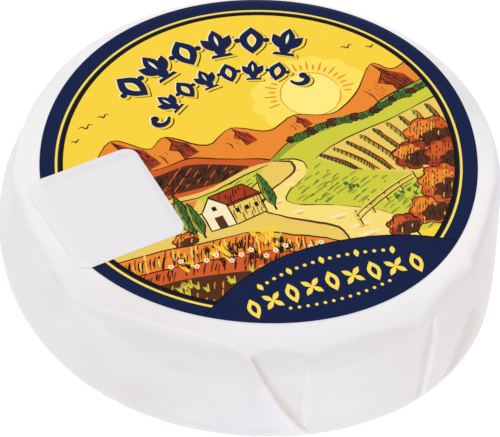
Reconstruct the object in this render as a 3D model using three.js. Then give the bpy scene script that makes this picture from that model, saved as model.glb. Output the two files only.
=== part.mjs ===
// A small camembert wheel folded into white wrapping paper, with a round label on top
// and a blank square sticker that laps over the label's edge onto the paper.
// Millimetres, +Z up. The wheel lies on z = 0, and the origin is the middle of its foot.
import * as THREE from "three";

// Driving dimensions of the wrapped wheel.
const HEIGHT = 24.6;
const RIM_RADIUS = 39.7;
const BASE_RADIUS = 41.1;
const SHOULDER_RADIUS = 5.3;
const FOOT_RADIUS = 5.8;
const BARREL = 0.5;

// How far the soft wheel is from round: cosine and sine of one, two and three waves a turn.
const RIM_WAVES = [1.05, -0.66, -0.42, -0.09, -0.13, 0.53];
const BASE_WAVES = [-1.9, 0.24, -0.68, -3.0, 1.05, -1.0];

// The share of the side's outward lean that is left at the back, which rests straighter, and the
// sines of the angles between which the lean fades.
const BACK_LEAN = 0.4;
const BACK_FADE = [0.1, 0.6];

// The top falls away by DOME_DROP at DOME_REACH from the axis, and the wheel is thicker at +X.
const DOME_REACH = 35;
const DOME_DROP = 0.83;
const RISE_X = 1.34;
const RISE_Y = -0.12;

// The label and the sticker: their sizes and their places on the top. The uneven top draws the
// label's round edge into three and four slight waves a turn.
const LABEL_RADIUS = 35.25;
const LABEL_CENTRE = [1.0, 0.78];
const LABEL_WAVES = [-0.16, -0.24, -0.28, 0];
const PAPER_THICKNESS = 0.2;
const PAPER_GAP = 0.15;
const STICKER_SIZE = [18.28, 19.76];
const STICKER_CORNER = 2.1;
const STICKER_CENTRE = [-22.34, -13.16];
const STICKER_TURN = 29.77;
// How far its left and its right edge lean out of square, as a share of their height.
const STICKER_LEAN = [-0.07, -0.03];
const STICKER_GAP = 0.5;
// How far past the label's edge the sticker starts to drop to the paper, and where it lies on it.
const STICKER_EASE = [0.6, 4];

// Pleats in the paper. Each has a free edge and a crease, at an angle in degrees where the
// shoulder starts and another at the foot. lift is how far the flap's edge stands out, sink
// how far the paper beside it lies in, and step half the width of the step between them, in
// mm. from and to say where the pleat begins and is full, as the paper's drop in mm.
const SHOWN_PLEATS = [
  { edge: [265, 291], bow: 0.55, crease: [284.5, 292.5], lift: 0.35, sink: 0.4, step: 0.3, from: 3, to: 5.5 },
  { edge: [318.6, 312.5], bow: 1, crease: [315, 309], lift: 0.25, sink: 0.25, step: 0.3, from: 4, to: 9 },
  { edge: [338, 318], bow: 1.1, crease: [346, 326], lift: 0.1, sink: 0.5, step: 0.6, from: 9, to: 15 },
];

// The hidden pleats: how many, the first one's angle and the degrees from one to the next, the
// drop where they begin, and their width in degrees, which narrows to HIDDEN_TAPER of itself at
// the foot. A pair gives a middle value and how far it swings from one pleat to another.
const HIDDEN_PLEATS = 7;
const HIDDEN_START = 20;
const HIDDEN_SPACING = [20.5, 3];
const HIDDEN_DROP = 6;
const HIDDEN_LEAN = 4;
const HIDDEN_WIDTH = [9, 2];
const HIDDEN_TAPER = 0.35;
const HIDDEN_LIFT = [0.4, 0.15];
const HIDDEN_SINK = [0.65, 0.2];
const HIDDEN_EDGE_STEP = 0.3;

// How far the raised paper beside an edge and beside a crease reaches, in mm, the crease's height
// as a share of the flap's lift, and the least width between an edge and its crease.
const FLAP_REACH = 6;
const CREASE_REACH = 3;
const CREASE_SHARE = 0.25;
const LEAST_WIDTH = 1.2;

// The paper's drop, measured down the wheel from where the shoulder starts, and the flat middle
// of the underside where the pleats are pressed together, with the distance they fade over.
const FULL_DROP = 31;
const PRESSED_RADIUS = 11;
const PRESSED_REACH = 12;

// How finely each zone of the wheel is divided, from the middle of the top to that of the foot.
const TOP_RINGS = 5;
const SHOULDER_ROWS = 6;
const SIDE_ROWS = 7;
const FOOT_ROWS = 6;
const UNDER_RINGS = 6;
const COLUMN_DEGREES = 3.4;

// The rings of the two sheets, as shares of their size, closer where they bend over the
// shoulder, and the points along their edges.
const LABEL_SHARES = [0.35, 0.7, 0.88, 0.91, 0.94, 0.97, 1];
const LABEL_SIDES = 72;
const STICKER_SHARES = [0.2, 0.36, 0.52, 0.68, 0.84, 1];
const STICKER_SIDES = 52;

const radians = THREE.MathUtils.degToRad;
const mix = THREE.MathUtils.lerp;
const share = (x, low, high) => THREE.MathUtils.clamp((x - low) / (high - low), 0, 1);
const smooth = (x, low, high) => THREE.MathUtils.smoothstep(x, low, high);

// The sum of some waves at an angle in radians, with first as the waves a turn of the first pair.
function waves(amounts, angle, first = 1) {
  let sum = 0;
  for (let k = 0; k < amounts.length / 2; k++) {
    const turns = (first + k) * angle;
    sum += amounts[2 * k] * Math.cos(turns) + amounts[2 * k + 1] * Math.sin(turns);
  }
  return sum;
}

const rimRadius = (angle) => RIM_RADIUS + waves(RIM_WAVES, angle);

// Radius of the wheel where the side meets the foot.
function baseRadius(angle) {
  const rim = rimRadius(angle);
  const lean = BASE_RADIUS + waves(BASE_WAVES, angle) - rim;
  return rim + lean * mix(1, BACK_LEAN, smooth(Math.sin(angle), ...BACK_FADE));
}

// Height of the top at a distance from the axis.
function topHeight(radius, angle) {
  const reach = radius / DOME_REACH;
  const rise = RISE_X * Math.cos(angle) + RISE_Y * Math.sin(angle);
  return HEIGHT - DOME_DROP * reach * reach + rise * reach;
}

// The pleats that the paper must have where nothing is seen, spread by a rule round the back.
// Each sine below has a pace of its own, so that no two pleats are alike.
function hiddenPleats() {
  const pleats = [];
  for (let i = 0; i < HIDDEN_PLEATS; i++) {
    const start = HIDDEN_START + HIDDEN_SPACING[0] * i + HIDDEN_SPACING[1] * Math.sin(2.3 * i);
    const lean = HIDDEN_LEAN * Math.cos(1.7 * i);
    const width = HIDDEN_WIDTH[0] + HIDDEN_WIDTH[1] * Math.sin(1.1 * i + 1);
    const mirrored = i % 3 === 1;
    const outer = [start, start + lean];
    const inner = [start + width, start + lean + HIDDEN_TAPER * width];
    pleats.push({
      edge: mirrored ? inner : outer,
      bow: 1,
      crease: mirrored ? outer : inner,
      lift: HIDDEN_LIFT[0] + HIDDEN_LIFT[1] * Math.cos(i),
      sink: HIDDEN_SINK[0] + HIDDEN_SINK[1] * Math.sin(1.9 * i),
      step: HIDDEN_EDGE_STEP,
      from: HIDDEN_DROP + Math.sin(i),
      to: 2 * HIDDEN_DROP + 2 * Math.cos(2 * i),
    });
  }
  return pleats;
}

const PLEATS = [...hiddenPleats(), ...SHOWN_PLEATS];

// Where a pleat's edge or crease runs at a drop, in degrees.
const lineAngle = (ends, bow, drop) => mix(ends[0], ends[1], share(drop, 0, FULL_DROP) ** bow);

// How far the paper stands out from the wheel at an angle in degrees, a drop and a radius.
function relief(degrees, drop, radius) {
  const perDegree = radians(1) * Math.max(radius, PRESSED_RADIUS);
  const pressed = smooth(radius, PRESSED_RADIUS, PRESSED_RADIUS + PRESSED_REACH);
  let sum = 0;
  for (const pleat of PLEATS) {
    const edge = lineAngle(pleat.edge, pleat.bow, drop);
    const crease = lineAngle(pleat.crease, 1, drop);
    const way = Math.sign(crease - edge);
    const width = Math.max(Math.abs(crease - edge) * perDegree, LEAST_WIDTH);
    const turned = ((degrees - edge + 540) % 360) - 180;
    const beside = way * turned * perDegree;
    const grown = smooth(drop, pleat.from, pleat.to) * pressed;
    const raised = pleat.lift * Math.exp(Math.min(beside + pleat.step, 0) / FLAP_REACH);
    const sunk = pleat.sink * Math.max(0, 1 - Math.max(beside, 0) / width);
    const fold = CREASE_SHARE * pleat.lift * Math.exp(-Math.abs(beside - width) / CREASE_REACH);
    const inside = smooth(beside, -pleat.step, pleat.step);
    sum += grown * (mix(raised, -sunk, inside) + fold);
  }
  return sum;
}

// A point of the wheel's outline at an angle, in one of its zones, with the outward normal,
// as distances from the axis and heights. u runs from 0 to 1 down each zone.
function outline(zone, u, angle) {
  const rim = rimRadius(angle);
  const base = baseRadius(angle);
  const inner = rim - SHOULDER_RADIUS;
  const level = topHeight(inner, angle) - SHOULDER_RADIUS;
  const turn = (u * Math.PI) / 2;
  if (zone === "top") return { r: inner * u, z: topHeight(inner * u, angle), nr: 0, nz: 1, drop: 0 };
  if (zone === "shoulder") {
    return {
      r: inner + SHOULDER_RADIUS * Math.sin(turn),
      z: level + SHOULDER_RADIUS * Math.cos(turn),
      nr: Math.sin(turn),
      nz: Math.cos(turn),
      drop: SHOULDER_RADIUS * turn,
    };
  }
  const sideStart = (SHOULDER_RADIUS * Math.PI) / 2;
  const sideEnd = sideStart + level - FOOT_RADIUS;
  if (zone === "side") {
    const r = mix(rim, base, u) + BARREL * Math.sin(u * Math.PI);
    return { r, z: mix(level, FOOT_RADIUS, u), nr: 1, nz: 0, drop: mix(sideStart, sideEnd, u) };
  }
  const foot = base - FOOT_RADIUS;
  if (zone === "foot") {
    return {
      r: foot + FOOT_RADIUS * Math.cos(turn),
      z: FOOT_RADIUS * (1 - Math.sin(turn)),
      nr: Math.cos(turn),
      nz: -Math.sin(turn),
      drop: sideEnd + FOOT_RADIUS * turn,
    };
  }
  return { r: foot * (1 - u), z: 0, nr: 0, nz: -1, drop: FULL_DROP };
}

// The angles of one row's columns, in degrees. Columns run along the pleats' lines, with a
// pair astride each free edge, so that the step there stays sharp.
function columnAngles(drop) {
  const anchors = PLEATS.flatMap((pleat) => {
    const edge = (d) => lineAngle(pleat.edge, pleat.bow, d);
    const crease = (d) => lineAngle(pleat.crease, 1, d);
    const half = THREE.MathUtils.radToDeg(pleat.step / BASE_RADIUS);
    const pair = [(d) => edge(d) - half, (d) => edge(d) + half];
    return edge(0) < crease(0) ? [...pair, crease] : [crease, ...pair];
  });
  const angles = [];
  anchors.forEach((anchor, i) => {
    const last = i === anchors.length - 1;
    const next = (d) => anchors[last ? 0 : i + 1](d) + (last ? 360 : 0);
    const parts = Math.max(1, Math.round((next(0) - anchor(0)) / COLUMN_DEGREES));
    for (let k = 0; k < parts; k++) angles.push(mix(anchor(drop), next(drop), k / parts));
  });
  return angles;
}

// A point on the wrapped wheel with its relief, never below the floor.
function wheelPoint(zone, u, degrees) {
  const angle = radians(degrees);
  const { r, z, nr, nz, drop } = outline(zone, u, angle);
  const out = zone === "top" ? 0 : relief(degrees, drop, r);
  const reach = r + nr * out;
  return new THREE.Vector3(reach * Math.cos(angle), reach * Math.sin(angle), Math.max(0, z + nz * out));
}

// A closed mesh from rows of points that all go round, with a point at each end.
function closedRows(firstPoint, rows, lastPoint) {
  const count = rows[0].length;
  const points = [firstPoint, ...rows.flat(), lastPoint];
  const at = (row, column) => 1 + row * count + (column % count);
  const last = points.length - 1;
  const faces = [];
  for (let c = 0; c < count; c++) {
    faces.push(0, at(0, c), at(0, c + 1));
    faces.push(last, at(rows.length - 1, c + 1), at(rows.length - 1, c));
    for (let r = 0; r < rows.length - 1; r++) {
      faces.push(at(r, c), at(r + 1, c), at(r + 1, c + 1));
      faces.push(at(r, c), at(r + 1, c + 1), at(r, c + 1));
    }
  }
  const geometry = new THREE.BufferGeometry().setFromPoints(points);
  geometry.setIndex(faces);
  geometry.computeVertexNormals();
  return geometry;
}

// The wheel in its paper, as rows from the middle of the top to the middle of the underside.
function wrappedWheel() {
  const zones = [
    ["top", TOP_RINGS],
    ["shoulder", SHOULDER_ROWS],
    ["side", SIDE_ROWS],
    ["foot", FOOT_ROWS],
    ["under", UNDER_RINGS],
  ];
  const rows = [];
  for (const [zone, parts] of zones) {
    const end = zone === "under" ? parts - 1 : parts;
    for (let k = 1; k <= end; k++) {
      const { drop } = outline(zone, k / parts, 0);
      rows.push(columnAngles(drop).map((degrees) => wheelPoint(zone, k / parts, degrees)));
    }
  }
  return closedRows(new THREE.Vector3(0, 0, HEIGHT), rows, new THREE.Vector3(0, 0, 0));
}

// A point of a sheet laid on the wheel: x and y are where it would lie if the top were flat
// and endless, and the sheet bends down over the shoulder without stretching.
function laidPoint(x, y, above) {
  const angle = Math.atan2(y, x);
  const reach = Math.hypot(x, y);
  const inner = rimRadius(angle) - SHOULDER_RADIUS;
  const over = (reach - inner) / ((SHOULDER_RADIUS * Math.PI) / 2);
  const on = over > 0 ? outline("shoulder", over, angle) : outline("top", reach / inner, angle);
  const { r, z, nr, nz } = on;
  const out = r + nr * above;
  return new THREE.Vector3(out * Math.cos(angle), out * Math.sin(angle), z + nz * above);
}

// A thin sheet laid on the wheel, from its flat outline at rising shares of its full size.
function laidSheet(centre, flatOutline, shares, lower) {
  const upper = (x, y) => lower(x, y) + PAPER_THICKNESS;
  const place = (x, y, above) => laidPoint(centre[0] + x, centre[1] + y, above(x, y));
  const ring = (size, above) => flatOutline.map(([x, y]) => place(x * size, y * size, above));
  const rows = [
    ...shares.map((size) => ring(size, upper)),
    ...shares.toReversed().map((size) => ring(size, lower)),
  ];
  return closedRows(place(0, 0, upper), rows, place(0, 0, lower));
}

// The label's edge about its own middle.
function labelOutline() {
  return Array.from({ length: LABEL_SIDES }, (_, i) => {
    const angle = (2 * Math.PI * i) / LABEL_SIDES;
    const radius = LABEL_RADIUS + waves(LABEL_WAVES, angle, 3);
    return [radius * Math.cos(angle), radius * Math.sin(angle)];
  });
}

// A rounded rectangle about its own middle, with points along its sides. Its upright edges lean
// by STICKER_LEAN, and all of it is turned by STICKER_TURN.
function stickerOutline() {
  const [width, depth] = STICKER_SIZE;
  const shape = new THREE.Shape();
  const corners = [[1, 1], [-1, 1], [-1, -1], [1, -1]];
  corners.forEach(([sx, sy], i) => {
    const start = (i * Math.PI) / 2;
    const cx = sx * (width / 2 - STICKER_CORNER);
    const cy = sy * (depth / 2 - STICKER_CORNER);
    shape.absarc(cx, cy, STICKER_CORNER, start, start + Math.PI / 2, false);
  });
  shape.closePath();
  const turn = radians(STICKER_TURN);
  const points = shape.getSpacedPoints(STICKER_SIDES).slice(0, -1);
  return points.map((p) => {
    const lean = mix(...STICKER_LEAN, p.x / width + 0.5);
    const leaning = new THREE.Vector2(p.x + lean * p.y, p.y);
    return leaning.rotateAround(new THREE.Vector2(), turn).toArray();
  });
}

// The sticker lies on the label, and eases down to the paper beyond the label's edge.
function stickerHeight(x, y) {
  const fromLabel = Math.hypot(
    STICKER_CENTRE[0] + x - LABEL_CENTRE[0],
    STICKER_CENTRE[1] + y - LABEL_CENTRE[1],
  );
  const past = fromLabel - LABEL_RADIUS;
  return mix(STICKER_GAP, PAPER_GAP, smooth(past, ...STICKER_EASE));
}

const wrapPaper = new THREE.MeshStandardMaterial({ color: 0xe9e8e8, roughness: 0.45, metalness: 0 });
const labelPaper = new THREE.MeshStandardMaterial({ color: 0xf3cf3c, roughness: 0.35, metalness: 0 });
const stickerPaper = new THREE.MeshStandardMaterial({ color: 0xe8e8ea, roughness: 0.4, metalness: 0 });

function namedMesh(name, geometry, material) {
  const mesh = new THREE.Mesh(geometry, material);
  mesh.name = name;
  return mesh;
}

const part = new THREE.Group();
part.add(namedMesh("wrapped_cheese", wrappedWheel(), wrapPaper));
part.add(
  namedMesh(
    "round_label",
    laidSheet(LABEL_CENTRE, labelOutline(), LABEL_SHARES, () => PAPER_GAP),
    labelPaper,
  ),
);
part.add(
  namedMesh(
    "square_sticker",
    laidSheet(STICKER_CENTRE, stickerOutline(), STICKER_SHARES, stickerHeight),
    stickerPaper,
  ),
);

// The waves move the wheel a little off its axis, so the origin is put back under its middle.
const middle = new THREE.Box3().setFromObject(part).getCenter(new THREE.Vector3());
for (const mesh of part.children) mesh.position.set(-middle.x, -middle.y, 0);

export default part;
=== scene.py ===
import math
import random

import bpy
import numpy as np
from mathutils import Matrix, Vector
from mathutils.geometry import delaunay_2d_cdt


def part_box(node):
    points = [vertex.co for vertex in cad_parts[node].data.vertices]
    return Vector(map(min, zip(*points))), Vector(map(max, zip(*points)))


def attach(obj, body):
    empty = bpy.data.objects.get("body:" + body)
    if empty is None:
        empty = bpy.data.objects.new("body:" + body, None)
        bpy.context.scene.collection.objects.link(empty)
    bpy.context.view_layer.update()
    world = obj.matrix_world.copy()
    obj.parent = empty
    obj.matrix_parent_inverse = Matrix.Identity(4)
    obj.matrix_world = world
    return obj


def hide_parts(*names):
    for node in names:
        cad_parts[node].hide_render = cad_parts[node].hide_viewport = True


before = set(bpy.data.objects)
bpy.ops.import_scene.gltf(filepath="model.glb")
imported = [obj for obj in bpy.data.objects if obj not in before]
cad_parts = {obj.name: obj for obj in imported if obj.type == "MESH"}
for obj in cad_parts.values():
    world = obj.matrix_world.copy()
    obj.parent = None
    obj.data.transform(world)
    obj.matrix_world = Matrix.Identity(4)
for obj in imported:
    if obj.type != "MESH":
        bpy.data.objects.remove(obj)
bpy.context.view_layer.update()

# A small camembert in folded white paper, with a round printed label and a blank sticker.
# Lengths are millimetres until a mesh is made; MM turns them into metres.
MM = 0.001

# The wheel's outline, as the solids have it.
HEIGHT = 24.6
RIM_RADIUS = 39.7
BASE_RADIUS = 41.1
SHOULDER_RADIUS = 5.3
FOOT_RADIUS = 5.8
BARREL = 0.5
RIM_WAVES = [1.05, -0.66, -0.42, -0.09, -0.13, 0.53]
BASE_WAVES = [-1.9, 0.24, -0.68, -3.0, 1.05, -1.0]
BACK_LEAN = 0.4
BACK_FADE = (0.1, 0.6)
DOME_REACH = 35
DOME_DROP = 0.83
RISE_X = 1.34
RISE_Y = -0.12

# The two sheets that are stuck on the top. STICKER_LEAN is how far the sticker's left and right edges
# lean out of square, as a share of their height.
LABEL_RADIUS = 35.25
LABEL_CENTRE = np.array([1.0, 0.78])
LABEL_WAVES = [-0.16, -0.24, -0.28, 0]
SHEET_THICKNESS = 0.09
SHEET_GAP = 0.02
SHEET_FLARE = 0.16
STICKER_SIZE = np.array([18.28, 19.76])
STICKER_CORNER = 2.1
STICKER_CENTRE = np.array([-22.34, -13.16])
STICKER_TURN = 29.77
STICKER_LEAN = (-0.07, -0.03)

# The sticker's margins are a little darker than its middle part: their widths at the left, at the top,
# at the two ends of the right side and at the bottom, the radius of the corners between them, and how
# wide the change is to each side of the line.
MARGIN_LEFT = 0.6
MARGIN_TOP = 1.9
MARGIN_RIGHT = (0.5, 1.35)
MARGIN_BOTTOM = 1.8
MARGIN_CORNER = 1.0
MARGIN_BLUR = 0.14

# How strong the margins' tone is at the left, at the bottom and further out, and where each comes in: at
# a share of the half width to each side of the middle, or between two distances beyond the middle part.
LEFT_MARGIN = 0.55
LEFT_FADE = 0.6
LOW_MARGIN = 0.35
LOW_FADE = (-1, 0.5)
OUTER_MARGIN = 0.4
OUTER_FADE = (0.3, 1.5)

# Where the sticker comes down from the label to the paper, and where its tone changes there, in mm past
# the label's edge.
COMING_DOWN = (-0.2, 1.6)
TONE_CHANGE = (-0.6, 1.5)

# The paper's pleats where they show. Each has a free edge and a crease, as points of (drop, degrees), the
# drop in mm down the paper from where the shoulder starts. The flap beyond the edge stands out by lift,
# which dies away over reach. From edge to crease the paper lies in by sink. It is deepest at the edge, or
# at deepest as a share of the way, and comes up over the distance close, or all the way. step is where
# the flap turns into the sunk paper, in mm beside the edge, ridge how far the crease stands out and its
# reaches inside and outside, and grown the strength at some drops. Each of tones is a strip of painted
# light and shade in the paper's colour: painted warm shade and painted grey shade where the fold lies in
# shadow, and a painted highlight (crest) where its edges catch the light. Each gives the tone, where it
# lies (in: from edge to crease, lip: beyond the edge, crest: beyond the crease), its strength, the share
# of its width at which it starts to fade, and its width in mm at some drops.
SHOWN_PLEATS = [
    dict(
        edge=[(0, 270), (3.8, 273.3), (8.5, 276.8), (12.2, 279.2), (16.6, 282), (20.8, 285.2),
              (24.9, 289.6), (31, 297)],
        crease=[(0, 285.2), (16, 285.2), (20.8, 286.4), (24.9, 290.4), (31, 298)],
        lift=0.3, reach=5, sink=0.3, close=1.2, step=(-0.1, 0.1), ridge=(0.12, 0.4, 2.5),
        grown=[(3.5, 0), (4, 0.8), (17, 1), (20.5, 0.7), (23, 0.35), (30, 0)],
        tones=[
            ("painted_warm_shade", "in", 0.55, 0.7,
             [(3.6, 0.5), (4, 0.8), (8, 1), (14, 1.3), (18.5, 1.3), (21, 0.7), (22, 0.35), (31, 0.3)]),
            ("shade", "in", 0.6, 0.7, [(3.6, 0.5), (4, 0.8), (7, 1), (9, 0.1)]),
            ("painted_warm_shade", "in", 0.3, 0.2, [(11, 0.5), (15, 2), (17, 3), (20, 3), (21, 0.5)]),
            ("crest", "crest", 0.55, 0.1, [(5.5, 0.1), (8, 2), (12, 2.2), (16, 2), (19, 1.6), (20.5, 0.2)]),
            ("crest", "lip", 0.6, 0.1, [(8, 0.2), (11, 3), (16, 5), (22, 6), (26, 2)]),
        ],
    ),
    dict(
        edge=[(0, 317.2), (8, 317.4), (11.4, 316.8), (13.4, 315.7), (16, 315), (23.2, 314), (31, 312.5)],
        crease=[(0, 315.4), (6, 316), (8, 314), (11, 313), (14, 312.4), (18, 312.6), (31, 309)],
        lift=0.16, reach=2, sink=0.16, step=(-0.7, 0),
        grown=[(6, 0), (8, 0.9), (14, 1), (22, 0.8), (28, 0)],
        tones=[
            ("painted_warm_shade", "in", 0.5, 0.2, [(6, 0.5), (9, 1.5), (13, 2.1), (18, 1.6), (24, 0.8)]),
            ("shade", "in", 0.6, 0.2, [(6, 0.8), (9, 2.4), (13, 3.4), (18, 2.8), (24, 1.6)]),
            ("crest", "lip", 0.8, 0.3,
             [(6.6, 0.4), (8, 0.8), (10, 1.1), (13, 1.4), (16, 1.4), (18, 1.2), (24, 1)]),
        ],
    ),
    dict(
        edge=[(0, 338), (12.4, 331.7), (13.4, 330.4), (14.6, 327.6), (15.9, 325.8), (17.4, 324.2),
              (19.4, 322.6), (21.2, 321.2), (31, 316.5)],
        crease=[(0, 346), (12, 336), (14, 334.6), (18.2, 335.2), (20.7, 331.4), (22.5, 328), (31, 322)],
        lift=0.05, reach=2, sink=0.3, deepest=0.3, step=(-0.1, 0.1),
        grown=[(13, 0), (14, 0.8), (16, 1), (20, 1), (23, 0.3), (30, 0)],
        tones=[
            ("painted_warm_shade", "in", 0.4, 0.2,
             [(13.3, 0.3), (14, 3), (15.3, 5), (18.2, 7), (20.7, 6), (22.5, 4), (24, 0.5)]),
            ("shade", "in", 1, 0.4,
             [(13.3, 0.3), (14, 3.8), (15.3, 6.4), (18.2, 9.5), (20.7, 7.5), (22.5, 5), (24, 1)]),
        ],
    ),
]

# A strip sets in over STRIP_START, in mm, and ends at STRIP_END of its width. It is full once its width
# and the pleat's strength have come up through STRIP_WIDTH and STRIP_GROWN. One that lies in the pleat
# fades at STRIP_CREASE, as a share of the way to the crease.
NO_RIDGE = (0, 1, 1)
LEAST_WIDTH = 0.5
RIDGE_ROUND = 0.1
STRIP_START = (-0.1, 0.05)
STRIP_END = 1.1
STRIP_WIDTH = (0.1, 0.6)
STRIP_GROWN = (0, 0.3)
STRIP_CREASE = (0.85, 1.05)

# The pleats where nothing is seen.
HIDDEN_PLEATS = 7
HIDDEN_START = 20
HIDDEN_STEP = 20.5
HIDDEN_WIDTH = 9
HIDDEN_TAPER = 0.35
HIDDEN_LIFT = 0.4
HIDDEN_SINK = 0.65
HIDDEN_DROP = 6
FULL_DROP = 31

# The paper lies flat at the middle of the underside, out to one radius, and in full relief after some more.
PRESSED_RADIUS = 11
PRESSED_REACH = 12

# The crease round the shoulder, where the paper bends: its drop, and how far it stands out, at some degrees.
SHOULDER_LINE = [
    (0, 4.6), (40, 5.4), (80, 4.4), (120, 5.2), (160, 5.5), (174, 8), (184, 9.2), (190, 7.4),
    (196, 6.2), (205, 6), (211, 5.5), (215, 5.3), (220, 5.9), (225, 6.5), (229, 6.2), (235, 5.2),
    (246.5, 3), (257, 2), (264, 1.9), (268, 2.5), (270.6, 3.2), (272.6, 3.9), (273.6, 3.8),
    (274.4, 3.1), (275.4, 2.65), (277, 2.5), (280.4, 2.6), (282.2, 2.85), (285.2, 3.75), (287.5, 4.1),
    (290.8, 3.5), (294.4, 3.2), (298.2, 3.2), (304.2, 4), (309, 5.1), (313, 6.2), (315.8, 5.2),
    (318, 4.7), (322.6, 4.25), (326.2, 4.3), (329.6, 4.9), (331.5, 5.5), (332.8, 5.9), (334, 5.2),
    (335.5, 4.6), (337.2, 4.4), (341.6, 3.9), (347, 3.9), (353, 3.8), (360, 4.6),
]
SHOULDER_HEIGHT = [
    (0, 0.2), (60, 0.2), (120, 0.14), (180, 0.14), (205, 0.12), (240, 0.12), (255, 0.14), (280, 0.22),
    (300, 0.2), (325, 0.36), (340, 0.4), (360, 0.2),
]
SHOULDER_REACH = 1.2
SHOULDER_ROUND = 0.15

# Painted light beside that crease: the paper is painted brighter above it, where light from above falls,
# and painted shade lies in a band below it. How wide the change is there, in mm.
SHOULDER_BRIGHT = [
    (0, 0.8), (14, 0.5), (24, 0), (44, 0.1), (60, 0.6), (90, 1), (110, 0.9), (130, 0.4), (160, 0.4),
    (180, 0.8), (192, 0.8), (199, 0.85), (205, 0.95), (209, 0.8), (214, 0.8), (222, 0.7), (230, 0.3),
    (236, 0.1), (252, 0.1), (274, 0.2), (298, 0.2), (312, 0.5), (322, 0.8), (336, 0.9), (360, 0.8),
]
SHOULDER_SHADE = [
    (0, 0.5), (20, 0.2), (190, 0.15), (235, 0.12), (262, 0.1), (273, 0.1), (275, 0.22), (286, 0.2),
    (291, 0.08), (303, 0.05), (308, 0.2), (313, 0.1), (318, 0.03), (326, 0.05), (329, 0.15),
    (331, 0.4), (333, 0.8), (336, 0.75), (341, 0.6), (350, 0.7), (360, 0.5),
]
SHOULDER_SOFTNESS = [
    (0, 1.2), (190, 2), (215, 1.6), (232, 0.9), (250, 0.7), (272, 0.4), (275, 0.3), (298, 0.3),
    (306, 1), (314, 1.6), (327, 1.6), (331, 2.4), (334, 2.5), (337, 1.8), (341, 1), (350, 0.8),
    (360, 1.2),
]

# The band of painted shade sets in from a share of that softness to a distance below the crease, and fades
# from one distance below it to another. The painted bright part ends at a share of the softness below it.
BAND_START = (-0.5, 0.3)
BAND_END = (0.4, 1.7)
BRIGHT_END = 0.2

# Wide stretches of painted light and shade: the degrees at which each starts, is full, starts to fade and
# is gone, its strength, and the mm below the crease, or the drops, between which it changes. The front is
# painted in warm shade below the crease, and less so further down, up to some degrees. The left is painted
# in shade on its lower half, and its rim is painted in warm shade above the crease.
FRONT_STRETCH = (285, 325, 338, 356)
FRONT_PAINTED_SHADE = 0.3
FRONT_BELOW = (-0.3, 0.4)
FRONT_FADE = 0.15
FRONT_FADE_BELOW = (1.5, 6)
FRONT_FADE_END = (318, 332)
LEFT_STRETCH = (175, 195, 256, 268)
LEFT_SHADE = 0.2
LEFT_DROP = (11, 17)
RIM_STRETCH = (226, 240, 256, 272)
RIM_PAINTED_SHADE = 0.22
RIM_END = (-1, 0.5)

# Spots of painted warm shade on the paper: angle, drop, half-widths in degrees and millimetres, and
# strength.
PAINTED_SHADE_SPOTS = [(223.5, 2.3, 4, 1.3, 0.26), (197, 4.2, 6, 1.2, 0.12)]

# Thin wrinkles: height, reach and strength of the highlight painted along them, and their line as
# (degrees, drop). They set in and end over some degrees.
WRINKLES = [
    (0.05, 0.5, 0.5, [(225, 6.4), (233, 4.9), (239, 3.75), (245, 2.8), (250.5, 2.2), (257, 1.75),
                      (264, 1.75), (269, 2.2), (273, 3)]),
    (0.03, 0.4, 0.25, [(236, 5.4), (244, 4), (252, 3), (260, 2.5), (268, 3)]),
    (0.05, 0.5, 0.15, [(249, 7.1), (252, 6.5), (257, 5.5), (262, 5), (271, 4.9)]),
    (0.04, 0.5, 0.2, [(237, 6.9), (240, 7.1), (243, 7.1), (247, 6.6)]),
]
WRINKLE_ENDS = 5
WRINKLE_ROUND = 0.2
WRINKLE_LIGHT = 0.4

# Soft hollows, or swellings where the depth is below zero: degrees, drop, half width, half height, depth
# and strength of the shade painted into them.
HOLLOWS = [
    (333.6, 7.6, 1.3, 1.3, 0.1, 0.6), (247, 6.8, 4, 1.4, 0.04, 0.12), (257.5, 7.4, 1.4, 0.9, 0.06, 0.4),
    (253, 4.4, 4, 0.9, 0.03, 0.16), (262, 3.8, 3.5, 0.7, 0.03, 0.12), (246, 18, 5, 3.5, 0.06, 0.2),
    (251, 14, 6, 8, 0.02, 0.22), (223, 8, 2, 2.5, 0.05, 0.15), (196, 4, 5, 2.6, -0.4, 0),
    (25, 3.5, 8, 3, 0.05, 0.4), (236, 13, 4, 6, 0.06, 0.15), (300, 14, 4, 6, -0.08, 0),
    (352, 13, 5, 6, 0.14, 0),
]

# Faint ripples all over the side, and the drops at which they and the whole relief set in.
RIPPLE_HEIGHT = 0.035
RIPPLE_DROP = (3, 8)
RELIEF_DROP = (0, 1.5)

# How finely the paper is divided: rows in each zone, and degrees between two columns.
ZONE_ROWS = {"top": 8, "shoulder": 30, "side": 36, "foot": 26, "under": 12}
COLUMN_DEGREES = 0.6
FINE_DEGREES = 0.34
FINE_FROM = 235
FINE_TO = 350
STEP_PARTS = 4

# The print. It is turned on the label, and sits a little below the label's middle.
PRINT_SEED = 4
PRINT_TURN = 26.7
PRINT_OFFSET = np.array([0, -0.53])
PICTURE_RADIUS = 31.45
BLACK_RADIUS = 32.05
NAVY_RADIUS = 32.35
LINE_RADIUS = 32.75
PANEL_CENTRE = (0, -57.75)
PANEL_RADIUS = 36.6
PANEL_LINE = 0.25

# How finely the sheets are divided: the sides of rings, how far in from the edge the rings of points lie,
# and the gaps between the other points. Points closer than SAME_POINT become one, and a face's slope is
# taken over NUDGE.
RING_SIDES = 360
LABEL_RINGS = (0.3, 0.7, 1.1, 1.6)
LABEL_RING_SIDES = 240
GRID_INSET = 2.2
UPPER_GAP = 1.6
LOWER_GAP = 3
STICKER_RINGS = (0.15, 0.4)
STICKER_GAP = 0.7
SIDE_GAP = 0.5
CORNER_PARTS = 10
SAME_POINT = 1e-4
NUDGE = 0.01

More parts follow.
